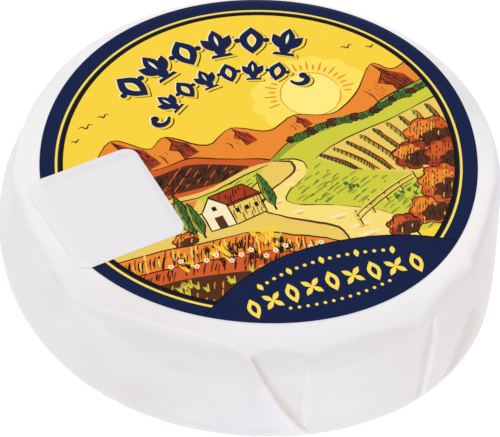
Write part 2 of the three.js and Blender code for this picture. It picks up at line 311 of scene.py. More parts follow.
# Print colours as they are seen, red, green and blue out of 255.
INKS = {
    "sky": (251, 213, 62), "glow": (255, 226, 92), "sun": (255, 236, 128), "sand": (252, 224, 124),
    "orange": (238, 138, 44), "rust": (212, 92, 36), "brick": (166, 58, 28), "brown": (84, 44, 24),
    "ink": (26, 16, 12), "straw": (238, 204, 96), "cream": (250, 236, 196), "lime": (208, 206, 60),
    "olive": (158, 164, 52), "green": (66, 108, 46), "navy": (12, 28, 70), "line": (255, 224, 88),
    "black": (12, 12, 12),
}
PAPER_COLOUR = (236, 233, 235)
PAPER_TINTS = [((240, 238, 237), 55), ((233, 230, 236), 85)]
# Tones painted into the wrap's colour in place of light: a warm shade and a grey shade in folds and under
# the shoulder's crease, a painted brightness above the crease where light falls from above, and a painted
# highlight on crests, lips and wrinkles.
PAINTED_PAPER_LIGHT = {
    "painted_warm_shade": (229, 217, 209), "shade": (223, 218, 216), "bright": (249, 246, 245), "crest": (244, 243, 247),
}
STICKER_COLOUR = (233, 231, 233)
STICKER_TONES = {"margin": (226, 224, 229), "bright": (243, 240, 240)}
FIBRE_STRENGTH = 0.35
ROUGHNESS_SPREAD = 0.05
ROUGHNESS_WAVES = 260

# The photograph's camera, for an image 500 pixels wide: focal length in pixels and millimetres
# for the place, about the wheel's axis.
IMAGE_WIDTH = 500
FOCAL_PIXELS = 2427.2
CAMERA_ELEVATION = 49.76
CAMERA_ROLL = 5.0
CAMERA_DISTANCE = 411
CAMERA_TARGET = np.array([0.276, 6.953, 0])
SENSOR_WIDTH = 36

# Light: the even white all round, the glow of the floor, which keeps shadows faint, and three lamps, each
# with its place and size in metres, its power and its colour. The floor reaches 1.5 m each way.
WHITE = (1, 1, 1, 1)
WORLD_LIGHT = 0.7
FLOOR_REACH = 1.5
FLOOR_COLOUR = (0.5, 0.5, 0.5, 1)
FLOOR_GLOW = 0.62
LAMPS = [
    ("overhead", (-0.03, 0.3, 0.8), 0.9, 2.6, (1, 1, 1)),
    ("front", (-0.1, -0.75, 0.3), 0.5, 0.5, (0.97, 0.97, 0.98)),
    ("right", (0.75, -0.1, 0.2), 0.4, 0.1, (1, 0.7, 0.45)),
]


def mix(a, b, t):
    return a + (b - a) * t


def share(x, low, high):
    return np.clip((x - low) / (high - low), 0, 1)


def smooth(x, low, high):
    t = share(x, low, high)
    return t * t * (3 - 2 * t)


def between(x, start, full, fading, end):
    """1 from full to fading, and 0 before start and beyond end."""
    return smooth(x, start, full) * (1 - smooth(x, fading, end))


def waves(amounts, angle, first=1):
    """The sum of some waves at an angle in radians, with first as the waves a turn of the first pair."""
    total = 0
    for k in range(len(amounts) // 2):
        turns = (first + k) * angle
        total = total + amounts[2 * k] * np.cos(turns) + amounts[2 * k + 1] * np.sin(turns)
    return total


def rim_radius(angle):
    return RIM_RADIUS + waves(RIM_WAVES, angle)


def base_radius(angle):
    rim = rim_radius(angle)
    lean = BASE_RADIUS + waves(BASE_WAVES, angle) - rim
    return rim + lean * mix(1, BACK_LEAN, smooth(np.sin(angle), *BACK_FADE))


def top_height(radius, angle):
    reach = radius / DOME_REACH
    rise = RISE_X * np.cos(angle) + RISE_Y * np.sin(angle)
    return HEIGHT - DOME_DROP * reach * reach + rise * reach


def through(points, x):
    """The smooth curve through a few points, level beyond its ends."""
    places, values = np.array(points, dtype=float).T
    slopes = np.gradient(values, places)
    x = np.clip(x, places[0], places[-1])
    k = np.clip(np.searchsorted(places, x) - 1, 0, len(places) - 2)
    gap = places[k + 1] - places[k]
    t = (x - places[k]) / gap
    start = values[k] * (1 + 2 * t) + slopes[k] * gap * t
    end = values[k + 1] * (3 - 2 * t) + slopes[k + 1] * gap * (t - 1)
    return start * (1 - t) ** 2 + end * t ** 2


def straight(points, x):
    """The straight lines through a few points, level beyond their ends."""
    return np.interp(x, *np.array(points).T)


def hidden_pleats():
    """The pleats that the paper must have where nothing is seen, spread by a rule round the back."""
    pleats = []
    full = 2 * HIDDEN_DROP
    for i in range(HIDDEN_PLEATS):
        start = HIDDEN_START + HIDDEN_STEP * i + 3 * math.sin(2.3 * i)
        low = start + 4 * math.cos(1.7 * i)
        width = HIDDEN_WIDTH + 2 * math.sin(1.1 * i + 1)
        begins = HIDDEN_DROP + math.sin(i)
        lines = [[(0, start + gap), (FULL_DROP, low + HIDDEN_TAPER * gap)] for gap in (0, width)]
        edge, crease = lines[::-1] if i % 3 == 1 else lines
        pleats.append(dict(
            edge=edge, crease=crease, lift=HIDDEN_LIFT + 0.15 * math.cos(i), reach=6,
            sink=HIDDEN_SINK + 0.2 * math.sin(1.9 * i), step=(-0.2, 0.2), ridge=(0.1, 1, 2),
            grown=[(begins, 0), (full + 2 * math.cos(2 * i), 1)],
            # Strips of painted warm shade and grey shade inside the pleat, and a painted highlight along its
            # crease.
            tones=[
                ("painted_warm_shade", "in", 0.6, 0.3, [(begins, 0.2), (full, 1)]),
                ("shade", "in", 0.4, 0.1, [(begins, 0.4), (full, 3)]),
                ("crest", "crest", 0.8, 0.1, [(begins, 0.2), (full, 1.6)]),
            ],
        ))
    return pleats


PLEATS = hidden_pleats() + SHOWN_PLEATS


def turned_by(degrees, start):
    """How far an angle lies from another, from -180 to 180."""
    return (degrees - start + 540) % 360 - 180


def pleat_relief(pleat, degrees, drop, per_degree, pressed, tones):
    """How far the paper stands out at one pleat. Its painted shade and highlight strips add to the others.
    """
    edge, crease = (through(pleat[name], drop) for name in ("edge", "crease"))
    width = np.maximum(np.abs(crease - edge) * per_degree, LEAST_WIDTH)
    beside = np.sign(crease - edge) * turned_by(degrees, edge) * per_degree
    past = beside - width
    grown = straight(pleat["grown"], drop) * pressed
    close = np.minimum(width, pleat.get("close", math.inf))
    deepest = pleat.get("deepest", 0)
    falling = share(beside / width, 0, deepest) if deepest else 1
    sunk = pleat["sink"] * np.minimum(falling, 1 - share(beside, width - close * (1 - deepest), width))
    raised = pleat["lift"] * np.exp(np.minimum(beside - pleat["step"][0], 0) / pleat["reach"])
    height, inner, outer = pleat.get("ridge", NO_RIDGE)
    ridge = height * np.exp(-np.hypot(past, RIDGE_ROUND) / np.where(past < 0, inner, outer))
    for tone, side, strength, crisp, widths in pleat["tones"]:
        strip = straight(widths, drop)
        away = {"in": beside, "lip": -beside, "crest": past}[side]
        spread = between(away, *STRIP_START, crisp * strip, STRIP_END * strip) * share(strip, *STRIP_WIDTH)
        if side == "in":
            spread = spread * (1 - smooth(beside / width, *STRIP_CREASE))
        # Adds this strip of painted light and shade to its tone.
        tones[tone] += strength * share(grown, *STRIP_GROWN) * spread
    return grown * (mix(raised, -sunk, smooth(beside, *pleat["step"])) + ridge)


def shoulder_painted_light(turn, drop, below, tones):
    """Adds painted light and shade: the wide stretches and those beside the shoulder's crease. below is how
    far under it a point lies.
    """
    # Painted warm shade on the front below the crease, and painted shade on the left's lower half.
    fading = FRONT_FADE * smooth(below, *FRONT_FADE_BELOW) * (1 - smooth(turn, *FRONT_FADE_END))
    tones["painted_warm_shade"] += between(turn, *FRONT_STRETCH) * smooth(below, *FRONT_BELOW) * (FRONT_PAINTED_SHADE - fading)
    tones["shade"] += LEFT_SHADE * between(turn, *LEFT_STRETCH) * smooth(drop, *LEFT_DROP)
    # Spots of painted warm shade.
    for centre, depth, wide, high, strength in PAINTED_SHADE_SPOTS:
        tones["painted_warm_shade"] += strength * np.exp(-((turn - centre) / wide) ** 2 - ((drop - depth) / high) ** 2)
    # Painted warm shade on the left rim above the crease.
    tones["painted_warm_shade"] += RIM_PAINTED_SHADE * between(turn, *RIM_STRETCH) * (1 - smooth(below, *RIM_END))
    # Painted shade in a band below the crease, and painted brightness above it where light from above falls.
    softness = straight(SHOULDER_SOFTNESS, turn)
    band = between(below, BAND_START[0] * softness, BAND_START[1], *BAND_END)
    tones["shade"] += straight(SHOULDER_SHADE, turn) * band
    lit = 1 - smooth(below, -softness, BRIGHT_END * softness)
    tones["bright"] += straight(SHOULDER_BRIGHT, turn) * lit


def relief(degrees, drop, radius):
    """How far the paper stands out from the wheel, and the strength of each of its tones of painted light
    and shade, from 0 to 1.
    """
    per_degree = math.radians(1) * np.maximum(radius, PRESSED_RADIUS)
    pressed = smooth(radius, PRESSED_RADIUS, PRESSED_RADIUS + PRESSED_REACH)
    out = 0 * degrees
    tones = {name: 0 * degrees for name in PAINTED_PAPER_LIGHT}
    for pleat in PLEATS:
        out += pleat_relief(pleat, degrees, drop, per_degree, pressed, tones)
    turn = degrees % 360
    below = drop - through(SHOULDER_LINE, turn)
    rounded = np.hypot(below, SHOULDER_ROUND)
    out += through(SHOULDER_HEIGHT, turn) * np.exp((SHOULDER_ROUND - rounded) / SHOULDER_REACH)
    shoulder_painted_light(turn, drop, below, tones)
    for height, reach, lit, line in WRINKLES:
        start, end = line[0][0], line[-1][0]
        kept = between(degrees, start, start + WRINKLE_ENDS, end - WRINKLE_ENDS, end)
        across = drop - through(line, degrees)
        out += height * kept * np.exp((WRINKLE_ROUND - np.hypot(across, WRINKLE_ROUND)) / reach)
        # A painted highlight along the wrinkle.
        tones["crest"] += lit * kept * np.exp(-(across / WRINKLE_LIGHT) ** 2)
    for middle, level, wide, tall, depth, shaded in HOLLOWS:
        beside = turned_by(degrees, middle) * per_degree / wide
        inside = np.exp(-beside ** 2 - ((drop - level) / tall) ** 2)
        out -= depth * inside
        # Painted shade in the hollow.
        tones["shade"] += shaded * inside
    angle = np.radians(degrees)
    ripples = np.sin(23 * angle + 0.35 * drop) * np.sin(0.5 * drop + 3 * np.sin(5 * angle))
    out += RIPPLE_HEIGHT * ripples * pressed * smooth(drop, *RIPPLE_DROP)
    return out * smooth(drop, *RELIEF_DROP), {name: np.clip(tone, 0, 1) for name, tone in tones.items()}


def outline(zone, u, angle):
    """Radius, height, outward normal and drop of the outline in one zone, with u from 0 to 1 down it."""
    rim = rim_radius(angle)
    inner = rim - SHOULDER_RADIUS
    level = top_height(inner, angle) - SHOULDER_RADIUS
    turn = u * math.pi / 2
    sine, cosine = np.sin(turn), np.cos(turn)
    base = base_radius(angle)
    foot = base - FOOT_RADIUS
    side_start = SHOULDER_RADIUS * math.pi / 2
    side_end = side_start + level - FOOT_RADIUS
    if zone == "top":
        values = inner * u, top_height(inner * u, angle), 0, 1, 0
    elif zone == "shoulder":
        lie = SHOULDER_RADIUS * turn
        values = inner + SHOULDER_RADIUS * sine, level + SHOULDER_RADIUS * cosine, sine, cosine, lie
    elif zone == "side":
        radius = mix(rim, base, u) + BARREL * math.sin(u * math.pi)
        values = radius, mix(level, FOOT_RADIUS, u), 1, 0, mix(side_start, side_end, u)
    elif zone == "foot":
        lie = side_end + FOOT_RADIUS * turn
        values = foot + FOOT_RADIUS * cosine, FOOT_RADIUS * (1 - sine), cosine, -sine, lie
    else:
        values = foot * (1 - u), 0, 0, -1, FULL_DROP
    return [value + 0 * angle for value in values]


def laid_points(flat, above):
    """Where points of a flat sheet come to lie on the wheel, bent over its shoulder without stretching."""
    angle = np.arctan2(flat[:, 1], flat[:, 0])
    reach = np.hypot(flat[:, 0], flat[:, 1])
    inner = rim_radius(angle) - SHOULDER_RADIUS
    over = (reach - inner) / (SHOULDER_RADIUS * math.pi / 2)
    on_top = outline("top", reach / inner, angle)
    bent = outline("shoulder", np.maximum(over, 0), angle)
    radius, height, across, up, drop = (np.where(over > 0, b, t) for b, t in zip(bent, on_top))
    above = above + relief(np.degrees(angle), drop, radius)[0]
    out = radius + across * above
    return np.column_stack([out * np.cos(angle), out * np.sin(angle), height + up * above])


def wrap_rows():
    """The paper's points, row by row from the top's middle to the underside's, and each row's tones of
    painted light and shade.
    """
    rows = []
    shades = []
    for zone, parts in ZONE_ROWS.items():
        end = parts - 1 if zone == "under" else parts
        for k in range(1, end + 1):
            u = k / parts
            degrees = column_angles(float(outline(zone, u, np.zeros(1))[4][0]))
            angle = np.radians(degrees)
            radius, height, across, up, drops = outline(zone, u, angle)
            out, tones = relief(degrees, drops, radius)
            reach = radius + across * out
            level = np.maximum(0, height + up * out)
            rows.append(np.column_stack([reach * np.cos(angle), reach * np.sin(angle), level]))
            shades.append(tones)
    return rows, shades


def column_angles(drop):
    """One row's angles in degrees. Columns run along the pleats' lines, with some close together at each
    free edge, so that the step there stays sharp."""
    lines = [(FINE_FROM, FINE_FROM, False), (FINE_TO, FINE_TO, False)]
    for pleat in PLEATS:
        edge, crease = ([through(pleat[name], at) for at in (0, drop)] for name in ("edge", "crease"))
        way = 1 if edge[0] < crease[0] else -1
        low, high = sorted(math.degrees(way * end / BASE_RADIUS) for end in pleat["step"])
        lines += [(edge[0] + low, edge[1] + low, True), (edge[0] + high, edge[1] + high, False)]
        lines.append((crease[0], crease[1], False))
    lines.sort()
    lines.append((lines[0][0] + 360, lines[0][1] + 360, False))
    angles = []
    for (start, here, on_step), (next_start, next_here, _) in zip(lines, lines[1:]):
        gap = FINE_DEGREES if FINE_FROM <= start < FINE_TO else COLUMN_DEGREES
        parts = STEP_PARTS if on_step else max(1, round((next_start - start) / gap))
        angles += [mix(here, next_here, k / parts) for k in range(parts)]
    return np.array(angles)


def shift_to_frame():
    """How far the solids were moved off the wheel's axis, so that their box is centred."""
    low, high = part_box("wrapped_cheese")
    middle = (np.array(low) + np.array(high)) / 2 / MM
    points = np.vstack(wrap_rows()[0])
    own = (points.min(axis=0) + points.max(axis=0)) / 2
    return np.array([middle[0] - own[0], middle[1] - own[1], 0])


SHIFT = shift_to_frame()


def linear(colour):
    """A seen colour out of 255 as the linear colour that a shader takes."""
    parts = [c / 255 for c in colour]
    return [c / 12.92 if c <= 0.04045 else ((c + 0.055) / 1.055) ** 2.4 for c in parts] + [1]


def link(tree, source, output, target, entry):
    tree.links.new(source.outputs[output], target.inputs[entry])


def settle(node, values):
    """Gives some of a node's inputs their values."""
    for entry, value in values.items():
        node.inputs[entry].default_value = value


def noise(tree, scale, detail=3):
    """A noise texture in object coordinates, with its scale in waves a metre."""
    place = tree.nodes.new("ShaderNodeTexCoord")
    texture = tree.nodes.new("ShaderNodeTexNoise")
    settle(texture, {"Scale": scale, "Detail": detail})
    link(tree, place, "Object", texture, "Vector")
    return texture


def ranged(tree, texture, low, high):
    """The texture's value, which mostly lies from 0.3 to 0.7, spread from low to high."""
    spread = tree.nodes.new("ShaderNodeMapRange")
    settle(spread, {"From Min": 0.3, "From Max": 0.7, "To Min": low, "To Max": high})
    link(tree, texture, "Fac", spread, "Value")
    return spread


def blended(tree, first, second, share_node, share_output):
    """A mix of two colours, each a plain colour or a node that gives one."""
    blend = tree.nodes.new("ShaderNodeMix")
    blend.data_type = "RGBA"
    for entry, colour in (("A", first), ("B", second)):
        if isinstance(colour, tuple):
            settle(blend, {entry: linear(colour)})
        else:
            link(tree, colour, "Result", blend, entry)
    link(tree, share_node, share_output, blend, "Factor")
    return blend


def new_material(name, values):
    """A material, and its shader with some of its values set."""
    material = bpy.data.materials.new(name)
    material.use_nodes = True
    shader = material.node_tree.nodes["Principled BSDF"]
    settle(shader, values)
    return material, shader


def paper_material(name, colour, roughness, fibre, height, gloss=0.5, tints=(), tones=()):
    """Coated paper: a fine fibre in its relief, with its waves a metre and its height in mm, a roughness
    that wanders, tints in soft clouds, each a colour and its waves a metre, and the mesh's marked tones,
    which on the wrap are painted light and shade."""
    material, shader = new_material(name, {"Base Color": linear(colour), "Specular IOR Level": gloss})
    tree = material.node_tree
    spread = (roughness - ROUGHNESS_SPREAD, roughness + ROUGHNESS_SPREAD)
    link(tree, ranged(tree, noise(tree, ROUGHNESS_WAVES), *spread), "Result", shader, "Roughness")
    bump = tree.nodes.new("ShaderNodeBump")
    settle(bump, {"Strength": FIBRE_STRENGTH, "Distance": height * MM})
    link(tree, noise(tree, fibre, 4), "Fac", bump, "Height")
    link(tree, bump, "Normal", shader, "Normal")
    for tint, scale in tints:
        colour = blended(tree, colour, tint, ranged(tree, noise(tree, scale), 0, 1), "Result")
    # Each marked tone is mixed into the colour by its strength; on the wrap these are painted light and
    # shade.
    for tone in tones:
        strength = tree.nodes.new("ShaderNodeAttribute")
        strength.attribute_name = tone
        colour = blended(tree, colour, tones[tone], strength, "Fac")
    if tints or tones:
        link(tree, colour, "Result", shader, "Base Color")
    return material


def placed(name, data):
    """A new object with its data, linked into the scene."""
    piece = bpy.data.objects.new(name, data)
    bpy.context.scene.collection.objects.link(piece)
    return piece


def new_object(name, points, faces, materials, slots=None):
    """A mesh object from points in millimetres about the wheel's axis, shaded smooth."""
    mesh = bpy.data.meshes.new(name)
    mesh.from_pydata(((points + SHIFT) * MM).tolist(), [], faces)
    for material in materials:
        mesh.materials.append(material)
    if slots is not None:
        mesh.polygons.foreach_set("material_index", np.array(slots, dtype=np.int32))
    mesh.shade_smooth()
    mesh.update()
    return placed(name, mesh)


def closed_rows(first, rows, last):
    """Points and faces of a closed skin from rings of points, with one point at each end."""
    count = len(rows[0])
    points = np.vstack([[first], *rows, [last]])
    end = len(points) - 1
    base = end - count
    faces = []
    for c in range(count):
        beside = (c + 1) % count
        faces += [(0, 1 + c, 1 + beside), (end, base + beside, base + c)]
        for top in range(1, base, count):
            low = top + count
            faces.append((top + c, low + c, low + beside, top + beside))
    return points, faces


def mark(piece, tone, strengths):
    """Keeps a tone's strength from 0 to 1 at each point of a mesh, for its material."""
    marks = piece.data.attributes.new(tone, "FLOAT", "POINT")
    marks.data.foreach_set("value", strengths.astype(np.float32))


def wrapping():
    """The wrapped wheel's paper skin."""
    rows, shades = wrap_rows()
    points, faces = closed_rows((0, 0, HEIGHT), rows, (0, 0, 0))
    paper = paper_material("white wrap", PAPER_COLOUR, roughness=0.5, fibre=1500, height=0.05,
                           tints=PAPER_TINTS, tones=PAINTED_PAPER_LIGHT)
    piece = new_object("wrap", points, faces, [paper])
    # The paper's painted light and shade, kept at each point for its material.
    for tone in PAINTED_PAPER_LIGHT:
        mark(piece, tone, np.concatenate([[0], *(row[tone] for row in shades), [0]]))
    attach(piece, "root")
    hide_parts("wrapped_cheese")


def circle(centre, radius, sides=RING_SIDES):
    turns = 2 * math.pi * np.arange(sides) / sides
    return np.column_stack([centre[0] + radius * np.cos(turns), centre[1] + radius * np.sin(turns)])


def within(points, loop):
    """Which points lie inside a closed outline."""
    odd = np.zeros(len(points), dtype=bool)
    x, y = points[:, 0], points[:, 1]
    for (x0, y0), (x1, y1) in zip(loop, np.roll(loop, -1, axis=0)):
        if y0 != y1:
            odd ^= ((y0 > y) != (y1 > y)) & (x < x0 + (y - y0) * (x1 - x0) / (y1 - y0))
    return odd


def planar(edge, loops, extra):
    """The inside of an outline cut into triangles along other outlines, with extra points.
    Each of loops is an outline, and which of its sides are wanted."""
    points = [tuple(p) for p in extra]
    cuts = []
    for loop, wanted in [(edge, np.ones(len(edge), dtype=bool)), *loops]:
        place = {}
        for i in np.flatnonzero(wanted):
            ahead = (i + 1) % len(loop)
            for end in (i, ahead):
                if end not in place:
                    place[end] = len(points)
                    points.append(tuple(loop[end]))
            cuts.append((place[i], place[ahead]))
    found = delaunay_2d_cdt([Vector(p) for p in points], cuts, [], 0, SAME_POINT, False)
    flat = np.array([tuple(p) for p in found[0]])
    triangles = np.array(found[2])
    triangles = triangles[within(flat[triangles].mean(axis=1), np.array(edge))]
    used, renumbered = np.unique(triangles, return_inverse=True)
    return flat[used], renumbered.reshape(triangles.shape)


def rim_of(triangles):
    """The points round the edge of a sheet of triangles, in order."""
    sides = {(a, b) for t in triangles.tolist() for a, b in ((t[0], t[1]), (t[1], t[2]), (t[2], t[0]))}
    after = {a: b for a, b in sides if (b, a) not in sides}
    order = [next(iter(after))]
    while after[order[-1]] != order[0]:
        order.append(after[order[-1]])
    return order


def sheet(name, upper, inside, place, materials, inks):
    """A thin closed sheet: its upper face, a bare lower face that is a little wider, and a narrow edge
    between them that is lit like the upper face. upper is the flat upper face in triangles, and inside
    the points that divide the lower one. place lays flat points on the wheel, at the upper height or at
    the lower. inks gives each upper triangle's material, and the first material is the bare paper."""
    flat_up, tris_up = upper
    rim_up = rim_of(tris_up)
    flat_down, tris_down = planar(flat_up[rim_up], [], inside)
    up = place(flat_up, True)
    middle = flat_up.mean(axis=0)
    flare = 1 + SHEET_FLARE / np.linalg.norm(flat_up - middle, axis=1).max()
    down = place(middle + (flat_down - middle) * flare, False)
    count = len(up)
    by_place = {tuple(np.round(flat_down[i], 5)): i for i in rim_of(tris_down)}
    rim_down = [by_place[tuple(np.round(flat_up[i], 5))] for i in rim_up]
    faces = tris_up.tolist() + (tris_down[:, ::-1] + count).tolist()
    for k in range(len(rim_up)):
        n = (k + 1) % len(rim_up)
        faces.append((rim_up[k], count + rim_down[k], count + rim_down[n], rim_up[n]))
    slots = list(inks) + [0] * (len(faces) - len(inks))
    piece = new_object(name, np.vstack([up, down]), faces, materials, slots)
    along_x, along_y = (place(flat_up + step, True) - up for step in ([NUDGE, 0], [0, NUDGE]))
    normals = np.cross(along_x, along_y)
    normals /= np.linalg.norm(normals, axis=1)[:, None]
    corners = np.zeros((len(piece.data.loops), 3))
    corners[:3 * len(tris_up)] = normals[tris_up.ravel()]
    ahead = np.roll(rim_up, -1)
    rim_corners = np.column_stack([rim_up, rim_up, ahead, ahead]).ravel()
    corners[3 * (len(tris_up) + len(tris_down)):] = normals[rim_corners]
    piece.data.normals_split_custom_set(corners.tolist())
    return piece


# The print is a list of fields, each an ink and a closed outline in millimetres about the
# print's middle with y up. Later fields cover earlier ones. Every random draw is seeded.
fields = []
panel_fields = []
draw = random.Random(PRINT_SEED)


def field(ink, shape, layer=fields):
    layer.append((ink, np.array(shape, dtype=float)))


def curve(points, parts=5):
    """A smooth line through a few points."""
    line = []
    last = len(points) - 1
    for i in range(last):
        a, b, c, d = (np.array(points[min(max(k, 0), last)], dtype=float) for k in range(i - 1, i + 3))
        for k in range(parts):
            t = k / parts
            bend = (2 * a - 5 * b + 4 * c - d) * t ** 2 + (3 * b - a - 3 * c + d) * t ** 3
            line.append(tuple(b + 0.5 * ((c - a) * t + bend)))
    return line + [tuple(points[-1])]


def stroke(ink, line, width, taper=0.35):
    """A pen stroke along a line, with its ends thinner by taper."""
    line = np.array(line, dtype=float)
    along = np.gradient(line, axis=0)
    along /= np.maximum(np.linalg.norm(along, axis=1), 1e-9)[:, None]
    across = np.column_stack([-along[:, 1], along[:, 0]])
    swell = np.sin(math.pi * (np.arange(len(line)) + 0.5) / len(line))
    half = (width / 2 * (taper + (1 - taper) * swell))[:, None]
    field(ink, np.vstack([line + across * half, (line - across * half)[::-1]]))


def shaky(line, amount):
    """The line as an unsteady hand draws it."""
    return [(x + draw.uniform(-amount, amount), y + draw.uniform(-amount, amount)) for x, y in line]


def pen(line, width=0.24, amount=0.06, ink="ink"):
    """A line drawn in several short strokes that follow on from each other."""
    start = 0
    while start < len(line) - 1:
        end = min(start + draw.randint(9, 16), len(line) - 1)
        stroke(ink, shaky(line[start:end + 1], amount), width * draw.uniform(0.8, 1.2))
        start = end - 1 if end < len(line) - 1 else end


def hill(ink, points, floor):
    """A hill: a smooth crest filled down to a level, and its outline."""
    crest = curve(points)
    field(ink, crest + [(crest[-1][0], floor), (crest[0][0], floor)])
    pen(crest, 0.26)


def hatch(ink, shape, angle, gap, width, keep, length):
    """Short pen strokes side by side, kept where they lie inside a shape."""
    ahead = polar(1, angle)
    beside = np.array([-ahead[1], ahead[0]])
    shape = np.array(shape, dtype=float)
    middle = shape.mean(axis=0)
    reach = np.linalg.norm(shape - middle, axis=1).max()
    strokes = []
    across = -reach
    while across < reach:
        along = -reach + draw.uniform(0, length)
        while along < reach:
            long = length * draw.uniform(0.5, 1.3)
            bow = 0.15 * draw.uniform(0.3, 1)
            line = [middle + ahead * (along + long * t) + beside * (across + bow * math.sin(math.pi * t))
                    for t in (0, 0.5, 1)]
            if draw.random() < keep:
                strokes.append((line, width * draw.uniform(0.7, 1.3)))
            along += long + draw.uniform(0.15, 0.7)
        across += gap * draw.uniform(0.75, 1.25)
    points = np.array([line for line, _ in strokes]).reshape(-1, 2)
    kept = within(points, shape).reshape(-1, 3).all(axis=1)
    for (line, size), inside in zip(strokes, kept):
        if inside:
            stroke(ink, line, size, 0.3)


def polar(radius, angle, middle=(0, 0)):
    turn = math.radians(angle)
    return np.array([middle[0] + radius * math.cos(turn), middle[1] + radius * math.sin(turn)])


def crown(centre, rx, ry, lobes, depth, turn=0):
    """The scalloped outline of a tree or a bush, or a plain oval where depth is 0."""
    angle = 2 * math.pi * np.arange(5 * lobes) / (5 * lobes)
    bump = 1 - depth + 2 * depth * np.abs(np.sin(lobes * angle / 2 + turn))
    return np.column_stack([centre[0] + rx * bump * np.cos(angle), centre[1] + ry * bump * np.sin(angle)])


def dot(ink, centre, radius, layer=fields):
    field(ink, crown(centre, radius, radius, 4, 0), layer)


def bush(x, y, rx, ry, light="orange", mid="rust", lobes=7):
    """A round bush, lit from the upper left and hatched at the lower right."""
    turn = draw.uniform(0, 3)
    shape = crown((x, y), rx, ry, lobes, 0.12, turn)
    shade = crown((x + 0.2 * rx, y - 0.36 * ry), 0.78 * rx, 0.56 * ry, lobes, 0.12, turn + 1)
    field(mid, shape)
    field(light, crown((x - 0.25 * rx, y + 0.35 * ry), 0.6 * rx, 0.48 * ry, lobes - 1, 0.16, turn))
    field("brown", shade)
    hatch("ink", shade, 62, 0.36, 0.22, 0.95, 1.5)
    hatch("brown", shape, 62, 0.5, 0.22, 0.85, 1.2)
    hatch("straw", shape, 62, 1.5, 0.16, 0.45, 0.9)
    pen(np.vstack([shape, shape[:1]]).tolist())


def poplar(x, y, height, width):
    """A tall narrow tree, darker on its right."""
    left, right = (curve([(x + width * a, y + height * b) for a, b in side]) for side in (
        [(0, 0), (-0.5, 0.3), (-0.32, 0.75), (0, 1)], [(0, 1), (0.36, 0.7), (0.5, 0.28), (0, 0)]))
    shape = shaky(left, 0.08) + shaky(right[1:-1], 0.08)
    field("green", shape)
    lit = [(mix(x, a, t) - 0.06, b) for t, line in ((0.9, left), (0.3, left[::-1])) for a, b in line]
    field("olive", lit)
    hatch("ink", shape, 78, 0.34, 0.18, 0.8, 1.3)
    pen(shape + shape[:1], 0.2)
    stroke("ink", [(x, y + 0.3), (x, y - 0.2), (x, y - 0.7)], 0.35, 0.9)


def hedge(points, size, gap):
    """Small dark trees in a row along a line."""
    line = np.array(curve(points, 12))
    steps = np.concatenate([[0], np.cumsum(np.linalg.norm(np.diff(line, axis=0), axis=1))])
    for k, at in enumerate(np.arange(0.5 * gap, steps[-1], gap)):
        x, y = (np.interp(at, steps, values) for values in line.T)
        place = (x, y + draw.uniform(-0.2, 0.2))
        tree = crown(place, size * draw.uniform(0.8, 1.2), 0.75 * size * draw.uniform(0.8, 1.3), 5, 0.14, k)
        field("brown" if k % 3 == 0 else "green", tree)
        hatch("ink", tree, 60, 0.32, 0.17, 0.9, 0.8)
        pen(tree.tolist(), 0.16, 0.03)


def tufts(ink, centre, rx, ry, count, height):
    """Blades of grass in small fans."""
    for _ in range(count):
        x = centre[0] + draw.uniform(-rx, rx)
        y = centre[1] + draw.uniform(-ry, ry)
        for lean in (-0.45, -0.1, 0.3):
            tall = height * draw.uniform(0.6, 1.1)
            top = (x + lean * tall, y + tall)
            stroke(ink, [(x + 0.3 * lean, y), (x + 0.6 * lean * tall, y + 0.6 * tall), top], 0.24, 0.2)


def sunrise():
    sun = (12.5, 8.6)
    disc = crown(sun, 4.9, 4.9, 9, 0)
    field("glow", crown(sun, 9.6, 8.2, 13, 0.05))
    field("sun", disc)
    pen(disc.tolist(), 0.22, 0.03, "orange")
    for i in range(22):
        ray = [polar(r, -12 + i * 9.3, sun) for r in (5.6, 6.2, 6.8 + 0.7 * (i % 2))]
        stroke("orange", ray, 0.34, 0.3)


def far_range():
    """Peaks along the horizon, each with a hatched shadow down its right side."""
    crest = [(-36, 3), (-30.5, 8.2), (-27, 6), (-21.5, 11.2), (-16.5, 7.2), (-13, 8.6), (-7.5, 4.4),
             (-2.5, 6.4), (3, 3.6), (8, 5.2), (14, 3.4), (19.5, 6.2), (24.5, 11.4), (28, 9.2), (36, 14)]
    hill("orange", crest, -8)
    shade = [(0.02, -0.03), (0.34, -0.36), (0.62, -0.55), (0.86, -1.1), (0.3, -1.25), (0.22, -0.8),
             (-0.08, -0.62), (0.12, -0.34)]
    left = [(-0.5, -0.75), (-0.36, -0.95), (-0.34, -1.2)]
    lit = [(0, -0.4), (-0.5, -0.7), (-0.5, -1.2), (0.1, -1.2)]
    for k, size in ((1, 5), (3, 7), (5, 4.6), (7, 3.6), (9, 2.6), (12, 7)):
        shape, ridge, slope = (np.array(points) * size + crest[k] for points in (shade, left, lit))
        field("brick", shape)
        hatch("brown", shape, -58, 0.4, 0.32, 0.95, 1.8)
        hatch("ink", shape, -62, 0.6, 0.22, 0.75, 1.4)
        stroke("ink", shaky(shape[[0, 7, 6, 5, 4]], 0.1), 0.28)
        stroke("ink", shaky(ridge, 0.1), 0.22)
        hatch("rust", slope, -70, 0.5, 0.2, 0.6, 1.2)


